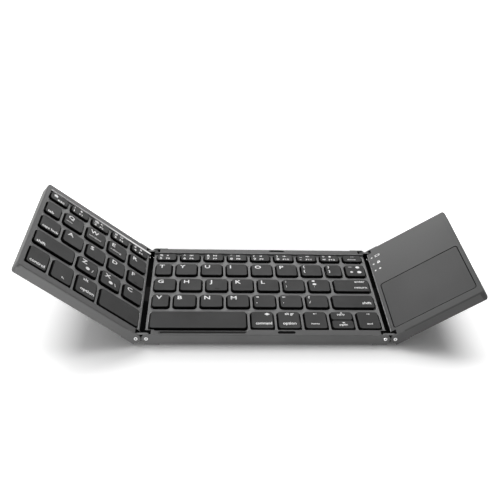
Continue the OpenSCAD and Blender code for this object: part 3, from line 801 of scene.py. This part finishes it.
def make_word(text, heavy):
    """A word as Blender sets it at size 1, with its baseline at y = 0; word() scales its capitals
    to 1 high and moves its left end to x = 0.
    """
    curve = bpy.data.curves.new("word", "FONT")
    curve.body, curve.size = text, 1.0
    curve.offset = 0.02 if heavy else 0.012
    curve.extrude, curve.resolution_u = 0.5, 2
    writer = add_object("word", curve)
    graph = bpy.context.evaluated_depsgraph_get()
    mesh = bpy.data.meshes.new_from_object(writer.evaluated_get(graph))
    bpy.data.objects.remove(writer)
    verts, faces = thin_solid(mesh)
    bpy.data.meshes.remove(mesh)
    return verts, faces


CAPITAL = None
words = {}


def word(text, heavy=True):
    global CAPITAL
    if CAPITAL is None:
        tall = make_word("H", False)[0]
        CAPITAL = tall[:, 1].max() - tall[:, 1].min()
    if (text, heavy) not in words:
        verts, faces = make_word(text, heavy)
        verts = verts * (1 / CAPITAL, 1 / CAPITAL, 1)
        verts[:, 0] -= verts[:, 0].min()
        words[text, heavy] = verts, faces
    return words[text, heavy]


# %% Marks as thin solids
def circle(x, y, r, n=12):
    return [(x + r * math.cos(2 * math.pi * k / n), y + r * math.sin(2 * math.pi * k / n))
            for k in range(n)]


def bar(x, y, w, h):
    return [(x, y), (x + w, y), (x + w, y + h), (x, y + h)]


def triangle(x, y, w, h):
    """Points right for a positive width and left for a negative one."""
    points = [(x, y), (x + w, y + h / 2), (x, y + h)]
    return points if w > 0 else points[::-1]


MARKS = {
    "dot": [circle(0.5, 0.5, 0.5)],
    "diamond": [[(0.5, 0), (1, 0.5), (0.5, 1), (0, 0.5)]],
    "left": [triangle(0.45, 0, -0.45, 1), bar(0.45, 0.38, 0.75, 0.24)],
    "right": [triangle(0.75, 0, 0.45, 1), bar(0, 0.38, 0.75, 0.24)],
    "up": [[(0, 0), (1, 0), (0.5, 0.8)]],
    "down": [[(0.5, 0), (1, 0.8), (0, 0.8)]],
    "back": [bar(0, 0, 0.18, 1), triangle(0.7, 0, -0.5, 1), triangle(1.25, 0, -0.5, 1)],
    "play": [triangle(0, 0, 0.8, 1), bar(0.9, 0, 0.18, 1), bar(1.2, 0, 0.18, 1)],
    "next": [triangle(0, 0, 0.5, 1), triangle(0.55, 0, 0.5, 1), bar(1.08, 0, 0.18, 1)],
    "quiet": [bar(0, 0.3, 0.3, 0.4), triangle(0.85, 0, -0.6, 1)],
    "softer": [bar(0, 0.3, 0.3, 0.4), triangle(0.85, 0, -0.6, 1), bar(1.0, 0.42, 0.4, 0.16)],
    "louder": [bar(0, 0.3, 0.3, 0.4), triangle(0.85, 0, -0.6, 1), bar(1.0, 0.42, 0.5, 0.16),
               bar(1.17, 0.22, 0.16, 0.2), bar(1.17, 0.58, 0.16, 0.2)],
    "home": [bar(0.15, 0, 0.7, 0.5), [(-0.05, 0.5), (1.05, 0.5), (0.5, 1.05)]],
    "frame": [bar(0, 0, 1.2, 0.16), bar(0, 0.84, 1.2, 0.16), bar(0, 0.16, 0.16, 0.68),
              bar(1.04, 0.16, 0.16, 0.68)],
    "lens": [bar(0.62, -0.05, 0.5, 0.2), circle(0.4, 0.6, 0.38)],
    "line": [bar(0, 0.4, 1, 0.2)],
    "lock": [bar(0.1, 0, 0.9, 0.55), bar(0.22, 0.55, 0.14, 0.4), bar(0.74, 0.55, 0.14, 0.4),
             bar(0.22, 0.9, 0.66, 0.14)],
    "cell": [bar(0, 0, 1.5, 0.18), bar(0, 0.82, 1.5, 0.18), bar(0, 0.18, 0.18, 0.64),
             bar(1.32, 0.18, 0.18, 0.64), bar(1.5, 0.33, 0.18, 0.34)],
}


def mark(name):
    """A mark's polygons as one thin closed solid, half below and half above z = 0."""
    verts, faces = [], []
    for polygon in MARKS[name]:
        n, first = len(polygon), len(verts)
        verts += [(x, y, z) for z in (-0.5, 0.5) for x, y in polygon]
        faces.append(tuple(range(first + n - 1, first - 1, -1)))
        faces.append(tuple(range(first + n, first + 2 * n)))
        faces += [(first + i, first + (i + 1) % n, first + n + (i + 1) % n, first + n + i)
                  for i in range(n)]
    return np.array(verts, float), faces


# %% [markdown]
# ## Which legend goes where
#
# A legend is given as text or mark, height of its capitals, and the place of its left
# end and its top from the cap's left back corner, in millimetres. A negative place is
# measured from the cap's other side. The stretch is the width of the letters against
# the font's own: the real letters are wide and bold.

# %% Legend lists
def letter(text):
    return [(text, 3.65, 2.3, 1.55, 1.1)]


def pair(upper, lower):
    return [(upper, 2.3, 1.6, 1.3, 1.15), (lower, 2.3, 1.7, 6.6, 1.15)]


def number(symbol, digit, sign, function):
    return [(symbol, 2.1, 1.7, 0.8, 1.15), (digit, 2.3, 1.7, 4.4, 1.25),
            (sign, 1.8, 6.2, 1.0, 1.0), (function, 1.7, 6.1, 4.9, 1.3)]


LEGENDS = {
    "number_keys_left": [number("!", "1", "home", "F1"), number("@", "2", "lens", "F2"),
                         number("#", "3", "frame", "F3"), number("$", "4", "lock", "F4")],
    "number_keys_right": [number("%", "5", "up", "F5"), number("^", "6", "back", "F6"),
                          number("&", "7", "play", "F7"), number("*", "8", "next", "F8"),
                          number("(", "9", "quiet", "F9"), number(")", "0", "softer", "F10"),
                          number("_", "-", "louder", "F11"), number("+", "=", "dot", "F12")],
    "esc_key": [("home", 3.0, 1.9, 0.9, 1.2), ("esc", 2.8, 5.4, 4, 1.03)],
    "delete_key": [("line", 1.0, 5.6, 1.4, 2.6), ("delete", 1.5, 3.0, 4.5, 1.15, "faint")],
    "tab_key": [("tab", 2.4, 1.6, -1.6, 1.08)],
    "top_letter_keys_left": [letter("Q") + [("undo", 1.4, 1.6, 8.0, 1.1, "faint")],
                             letter("W") + [("window", 1.5, 1.6, 8.0, 1.4, "faint")],
                             letter("E") + [("editing", 1.5, 1.6, 8.0, 1.5, "faint")],
                             letter("R")],
    "top_letter_keys_right": [letter(text) for text in "TYUIOP"]
                             + [pair("{", "["), pair("}", "]")],
    "backslash_key": [("line", 1.6, 2.6, 1.6, 1.5), ("dot", 1.9, 3.0, 7.6, 1.1),
                      ("dot", 2.8, 7.5, 1.4, 1.0), ("dot", 2.8, 7.9, 7.2, 1.1)],
    "caps_lock_key": [("caps lock", 2.4, 1.7, -1.5, 0.9)],
    "home_keys_left": [letter(text) for text in "ASDF"],
    "home_keys_right": [letter(text) for text in "GHJKL"] + [pair(":", ";"),
                           [("dot", 1.8, 2.4, 0.9, 1.2), ("dot", 2.2, 2.6, 4.4, 1.2),
                            ("'", 1.6, 3.4, 8.2, 1.2)]],
    "enter_key": [("enter", 2.1, -2.5, 1.1, 1.08), ("return", 2.2, -2, -3.5, 1.08)],
    "left_shift_key": [("shift", 2.6, 1.7, -1.5, 1.01)],
    "low_letter_keys_left": [
        letter("Z") + [("dot", 2.9, 5.8, 7.2, 1.0), ("/", 2.6, 10.2, 7.4, 1.0)],
        letter("X") + [("dot", 2.9, 5.8, 7.2, 1.0), ("\\", 2.6, 9.9, 7.4, 1.0)], letter("C")],
    "low_letter_keys_right": [letter(text) for text in "VBNM"]
                             + [pair("<", ","), pair(">", "."), pair("?", "/")],
    "right_shift_key": [("shift", 2.5, -2, -3.9, 1.01)],
    "ctrl_key": [("control", 2.7, 1.8, -2.4, 0.9)],
    "fn_key": [("fn", 1.7, 6.8, -3.2, 1.1, "faint")],
    "left_alt_key": [("alt", 2.5, 3.6, 0.9, 1.03), ("option", 2.7, 3.1, -3.9, 0.972)],
    "right_command_key": [("diamond", 2.8, 8.4, 1.4, 1.25), ("command", 2.6, 2.7, -3.9, 0.702)],
    "right_alt_key": [("alt gr", 2.5, 4.6, 0.9, 0.774), ("option", 2.6, 2.8, -3.9, 0.882)],
    "left_arrow_key": [("left", 1.5, 5.7, 1.5, 1.3), ("home", 1.4, 3.8, -4.1, 1.15, "word")],
    "up_arrow_key": [("up", 1.5, 6.2, 0.25, 1.2), ("pgup", 1.6, 4.3, 1.9, 1.15)],
    "down_arrow_key": [("down", 1.6, 6.4, 1.7, 1.2), ("pgdn", 1.7, 4.5, 3.6, 1.15)],
    "right_arrow_key": [("right", 1.5, 6.3, 1.5, 1.3), ("end", 1.5, 5.2, -4.1, 1.2, "word")],
}
print("legends on", len(LEGENDS), "key nodes")

# %% Print a key node's legends
def legend_solids(box, legends):
    """(vertices, faces, faint) of each legend of a cap, in the section's flat mm."""
    x, y, w, d = box[:4]
    for text, high, across, down, stretch, *rest in legends:
        is_mark = text in MARKS and "word" not in rest
        verts, faces = mark(text) if is_mark else word(text, "faint" not in rest)
        verts = verts * (high * stretch, high, INK)
        size = verts.max(axis=0)
        left = across if across >= 0 else w + across - size[0]
        base = d - down - high if down >= 0 else -down
        yield verts + (x - w / 2 + left, y - d / 2 + base, KEY_TOP), faces, "faint" in rest


def joined(name, parts):
    """One mesh of many (vertices, faces, material number) parts."""
    verts, faces, slots, first = [], [], [], 0
    for part, part_faces, number in parts:
        verts.append(part)
        faces += [tuple(first + v for v in face) for face in part_faces]
        slots += [int(number)] * len(part_faces)
        first += len(part)
    mesh = bpy.data.meshes.new(name)
    mesh.from_pydata(np.concatenate(verts).tolist(), [], faces)
    mesh.polygons.foreach_set("material_index", slots)
    return mesh


def print_legends(name, parts, body, place):
    mesh = joined(name, parts)
    mesh.transform(place)
    for material in (ink, faint_ink):
        mesh.materials.append(material)
    piece = add_object(name, mesh)
    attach(piece, body)
    return len(mesh.polygons)


total = 0
for node, per_cap in LEGENDS.items():
    per_cap = [per_cap] if isinstance(per_cap[0], tuple) else per_cap
    assert len(per_cap) == len(boxes[node]), node
    parts = [part for box, legends in zip(boxes[node], per_cap)
             for part in legend_solids(box, legends)]
    total += print_legends(node + "_legends", parts, node, key_place[node])
print("legend faces", total)

# %% [markdown]
# ## Homing bars
#
# F and J carry a small raised bar, so that the first fingers find their keys without
# looking. It is a bar with round ends, a tenth of a millimetre high.

# %% Bars on F and J
def round_bar(x, y, width, height, steps=6):
    r, reach = height / 2, (width - height) / 2
    ends = [(reach, -90), (-reach, 90)]
    return [(x + cx + r * math.cos(math.radians(start + 180 * k / steps)),
             y + r * math.sin(math.radians(start + 180 * k / steps)))
            for cx, start in ends for k in range(steps + 1)]


BAR_LENGTH, BAR_WIDTH, BAR_HEIGHT, BAR_SHARE = 3.0, 0.6, 0.1, 0.3
for node, index in HOMING.items():
    x, y, w, d, top = boxes[node][index]
    MARKS["homing"] = [round_bar(x, y - d * BAR_SHARE, BAR_LENGTH, BAR_WIDTH)]
    verts, faces = mark("homing")
    mesh = joined(node + "_bar", [(verts * (1, 1, 2 * BAR_HEIGHT) + (0, 0, KEY_TOP), faces, 0)])
    mesh.transform(key_place[node])
    mesh.materials.append(key_top)
    homing = add_object(node + "_bar", mesh)
    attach(homing, node)

# %% [markdown]
# ## Hinge pins and links
#
# Eight pins carry the wings. Each end was faced on a lathe, which leaves fine rings, a
# small groove and a centre mark, and that bright disc is what shows at the corners of the
# keyboard. The centre mark and the edge round the disc are painted near black: painted
# shade. A lathe form is a stack of circles, so the ring loft of the caps serves again.

# %% The pins
def circle_ring(radius, steps=28):
    return [((0, 0), (radius * math.cos(2 * math.pi * k / steps),
                      radius * math.sin(2 * math.pi * k / steps))) for k in range(steps)]


PIN_RADIUS, PIN_LENGTH = 1.3, 4.85
PIN_RINGS = [(PIN_RADIUS, -PIN_LENGTH), (PIN_RADIUS, -0.16), (1.16, 0.0), (0.98, 0.0),
             (0.92, -0.07), (0.82, -0.07), (0.76, 0.0), (0.5, 0.0), (0.4, -0.12)]
PIN_SUNK = 0.05
pin_form = add_object("pin_form", ring_form(
    "pin_form", [(circle_ring(radius), height) for radius, height in PIN_RINGS]))
distance = pin_form.data.attributes.new("ring", "FLOAT", "POINT")
distance.data.foreach_set("value", [math.hypot(v.co.x, v.co.y) for v in pin_form.data.vertices])

PIN_COLUMNS = {"middle": (-pin_x, pin_x), "left_wing": (0,), "right_wing": (0,)}
for body, columns in PIN_COLUMNS.items():
    ends = [(x, side) for x in columns for side in (-1, 1)]
    pins = stamp(body + "_turned_pins", pin_form,
                 [(x, side * (HALF_DEPTH - PIN_SUNK), PIN_HEIGHT) for x, side in ends],
                 pin_steel, pin_steel, PLACES[body],
                 turn=[(-side * math.pi / 2, 0, 0) for x, side in ends])
    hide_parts(body + "_pins")
    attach(pins, body)
bpy.data.objects.remove(pin_form)

for side in ("left", "right"):
    # The round ends of the link plates, which do not face up, are painted near black: painted
    # shade.
    dress(side + "_links", side + "_link_plates", link_steel, link_steel, 0.12,
          zones=[(hinge_painted_shade, lambda spot, up: up < 0.85)])

# %% [markdown]
# ## Screws under the covers
#
# Small countersunk screws hold the bottom covers. Their heads have a cross recess: the
# inner ring of the form has long and short radii in turn, which draws the cross.

# %% The screws
def cross_ring(reach, steps=24):
    radii = [reach if k % 6 in (0, 5) else reach * 0.34 for k in range(steps)]
    angles = [math.radians((k + 0.5) * 15) for k in range(steps)]
    return [((0, 0), (r * math.cos(a), r * math.sin(a))) for r, a in zip(radii, angles)]


head = [(circle_ring(1.35, 24), -0.3), (circle_ring(1.35, 24), 0.0),
        (circle_ring(1.22, 24), 0.07), (cross_ring(0.86), 0.07), (cross_ring(0.7), -0.2)]
screw_form = add_object("screw_form", ring_form("screw_form", head))
SCREWS = {
    "middle": [(x, y) for x in (-44, 0, 44) for y in (-43, 43)] + [(-62, 0), (62, 0)],
    "left_wing": [(x, y) for x in (-72, -40) for y in (-43, 43)] + [(-6, 0)],
    "right_wing": [(x, y) for x in (50, 24) for y in (-43, 43)] + [(6, 0)],
}
for body, spots in SCREWS.items():
    turns = [(math.pi, 0, 0.7 * i) for i in range(len(spots))]
    screws = stamp(body + "_screws", screw_form, [(x, y, 0) for x, y in spots], screw_steel,
                   screw_steel, PLACES[body], turn=turns)
    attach(screws, body)
bpy.data.objects.remove(screw_form)

# %% [markdown]
# ## Signs beside the indicator lights
#
# Each of the three lights has a printed sign beside it: a battery cell, a padlock for
# caps lock and a plain diamond for the radio link.

# %% The signs
SIGNS_FROM_PIN = 4.6
deck_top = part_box("middle_frame")[1][2] / MM - shell_base / MM
signs = []
for name, y, high in (("cell", 38.0, 2.2), ("lock", 30.1, 2.4), ("diamond", 22.2, 1.9)):
    verts, faces = mark(name)
    signs.append((verts * (high, high, INK) + (SIGNS_FROM_PIN, y - high / 2, deck_top), faces, 0))
print_legends("light_signs", signs, "right_wing", PLACES["right_wing"])

# %% Finishes of the CAD nodes that stay
STAYING = {
    "middle_support_plate": plate_steel, "left_support_plate": plate_steel,
    "middle_dome_sheet": rubber, "left_dome_sheet": rubber,
    "middle_scissors": scissor_plastic, "left_scissors": scissor_plastic,
    # touchpad_board, which shows through the groove round the pad, gets black rubber: painted
    # shade.
    "main_board": board_green, "touchpad_board": rubber, "battery": foil,
    "indicator_lights": light_lens, "left_flat_cable": cable_film,
    "right_flat_cable": cable_film,
}
for node, material in STAYING.items():
    slots = nodes[node].material_slots
    for slot in slots:
        slot.material = material
    print(node, len(slots), "slot")

# %% [markdown]
# ## Floor, light and background
#
# A product on white needs a floor that is white and still takes a shadow. The floor is a
# pale diffuse surface under a light level at which it renders almost white. Emission
# that only the camera and reflections see lifts it to pure white. It starts 4 mm before
# and behind the keyboard and 110 mm to either side of its middle, beneath the raised
# wings, and grows outward. So the shadow close to the object keeps its full depth, and
# further out it is paler than the lamps alone would make it. The world is white above
# the horizon in the same way.

# %% The floor
def seen_directly(graph):
    """1 for rays from the camera or from a mirror or glass, else 0."""
    path = graph.add("LightPath")
    outputs = path.socket.node.outputs
    camera, glossy, through = (Wire(graph, outputs[name]) for name in (
        "Is Camera Ray", "Is Glossy Ray", "Is Transmission Ray"))
    return (camera + glossy + through).above(0.5)


GLOW_FROM, GLOW_RAMP = (0.11, 0.053, 0), 0.03
FAR, FAR_GLOW = 0.5, 2.2


def white_floor(tone, lift):
    finish = Finish("white_floor", Roughness=1.0, Specular_IOR_Level=0.0)
    finish.colour(finish.mix(finish.noise(3), grey(tone - 0.005), grey(tone + 0.005)))
    place = finish.add("TexCoord", output=3)
    beyond = finish.add("VectorMath", {0: place}, operation="ABSOLUTE")
    beyond = finish.add("VectorMath", {0: beyond, 1: GLOW_FROM}, operation="SUBTRACT")
    beyond = finish.add("VectorMath", {0: beyond, 1: (0, 0, 0)}, operation="MAXIMUM")
    away = finish.add("VectorMath", {0: beyond}, output=1, operation="LENGTH")
    paler = finish.mix(away / FAR, grey(1.0), grey(FAR_GLOW))
    glow = finish.add("Emission", {"Color": finish.mix(away / GLOW_RAMP, grey(0.0), paler),
                                   "Strength": seen_directly(finish) * lift})
    lit = Wire(finish, finish.shader.outputs[0])
    both = finish.add("AddShader", {0: lit, 1: glow})
    finish.feed(finish.tree.nodes["Material Output"].inputs["Surface"], both)
    return finish.material


FLOOR_HALF, FLOOR_LEVEL, FLOOR_TONE, FLOOR_LIFT = 3, -0.0001, 0.98, 0.48
floor_mesh = bpy.data.meshes.new("floor")
floor_mesh.from_pydata([(x * FLOOR_HALF, y * FLOOR_HALF, FLOOR_LEVEL)
                        for x, y in ((-1, -1), (1, -1), (1, 1), (-1, 1))], [], [(0, 1, 2, 3)])
floor_mesh.materials.append(white_floor(FLOOR_TONE, FLOOR_LIFT))
floor = add_object("floor", floor_mesh)

# %% World
AMBIENT = 0.2
world = bpy.data.worlds.new("studio")
bpy.context.scene.world = world
world.use_nodes = True
sky = Graph(world.node_tree, "ShaderNode")
seen = seen_directly(sky)
background = world.node_tree.nodes["Background"]
sky.feed(background.inputs["Color"], (1, 1, 1, 1))
sky.feed(background.inputs["Strength"], seen * (1 - AMBIENT) + AMBIENT)

# %% Lamps
def soft_box(name, place, aim, size, watts):
    """A square area lamp that faces a point."""
    lamp = bpy.data.lights.new(name, "AREA")
    lamp.shape, lamp.size, lamp.energy = "SQUARE", size, watts
    lamp_object = add_object(name, lamp)
    lamp_object.location = place
    lamp_object.visible_camera = False
    lamp_object.rotation_euler = (Vector(aim) - Vector(place)).to_track_quat("-Z", "Y").to_euler()
    return lamp_object


soft_box("left_lamp", (-0.5, 0.45, 0.6), (-0.1, 0, 0), 0.4, 3.2)
soft_box("right_lamp", (0.36, 0.16, 0.62), (0.1, 0, 0), 0.4, 2.05)
soft_box("back_lamp", (0.0, 0.5, 0.18), (0, 0, 0), 0.3, 0.8)
soft_box("front_lamp", (-0.35, -0.45, 0.04), (-0.1, 0, 0.03), 0.07, 2.6)

# %% [markdown]
# ## Camera
#
# The camera looks down on the keyboard from the front, slightly from the left. The
# object sits low in the frame, which a small shift of the lens gives without turning the
# camera.

# %% The camera
ELEVATION, YAW, ROLL = 29.471, 4.869, 3.182
EYE_PLACE = (-0.035839, -0.423393, 0.304342)
SENSOR, LENS, LENS_SHIFT = 36.0, 56.109, (-0.03526, -0.07109)
camera = bpy.data.cameras.new("camera")
camera.sensor_width, camera.lens = SENSOR, LENS
camera.shift_x, camera.shift_y = LENS_SHIFT
camera.clip_start, camera.clip_end = 0.01, 20.0
eye = add_object("camera", camera)
elevation, yaw, roll = (math.radians(angle) for angle in (ELEVATION, YAW, ROLL))
forward = Vector((math.sin(yaw) * math.cos(elevation), math.cos(yaw) * math.cos(elevation),
                  -math.sin(elevation)))
across = forward.cross(Vector((0, 0, 1))).normalized()
over = across.cross(forward)
right = across * math.cos(roll) + over * math.sin(roll)
top = over * math.cos(roll) - across * math.sin(roll)
turn = Matrix((right, top, -forward)).transposed()
eye.matrix_world = Matrix.Translation(EYE_PLACE) @ turn.to_4x4()
bpy.context.scene.camera = eye
bpy.context.scene.view_settings.view_transform = "Standard"
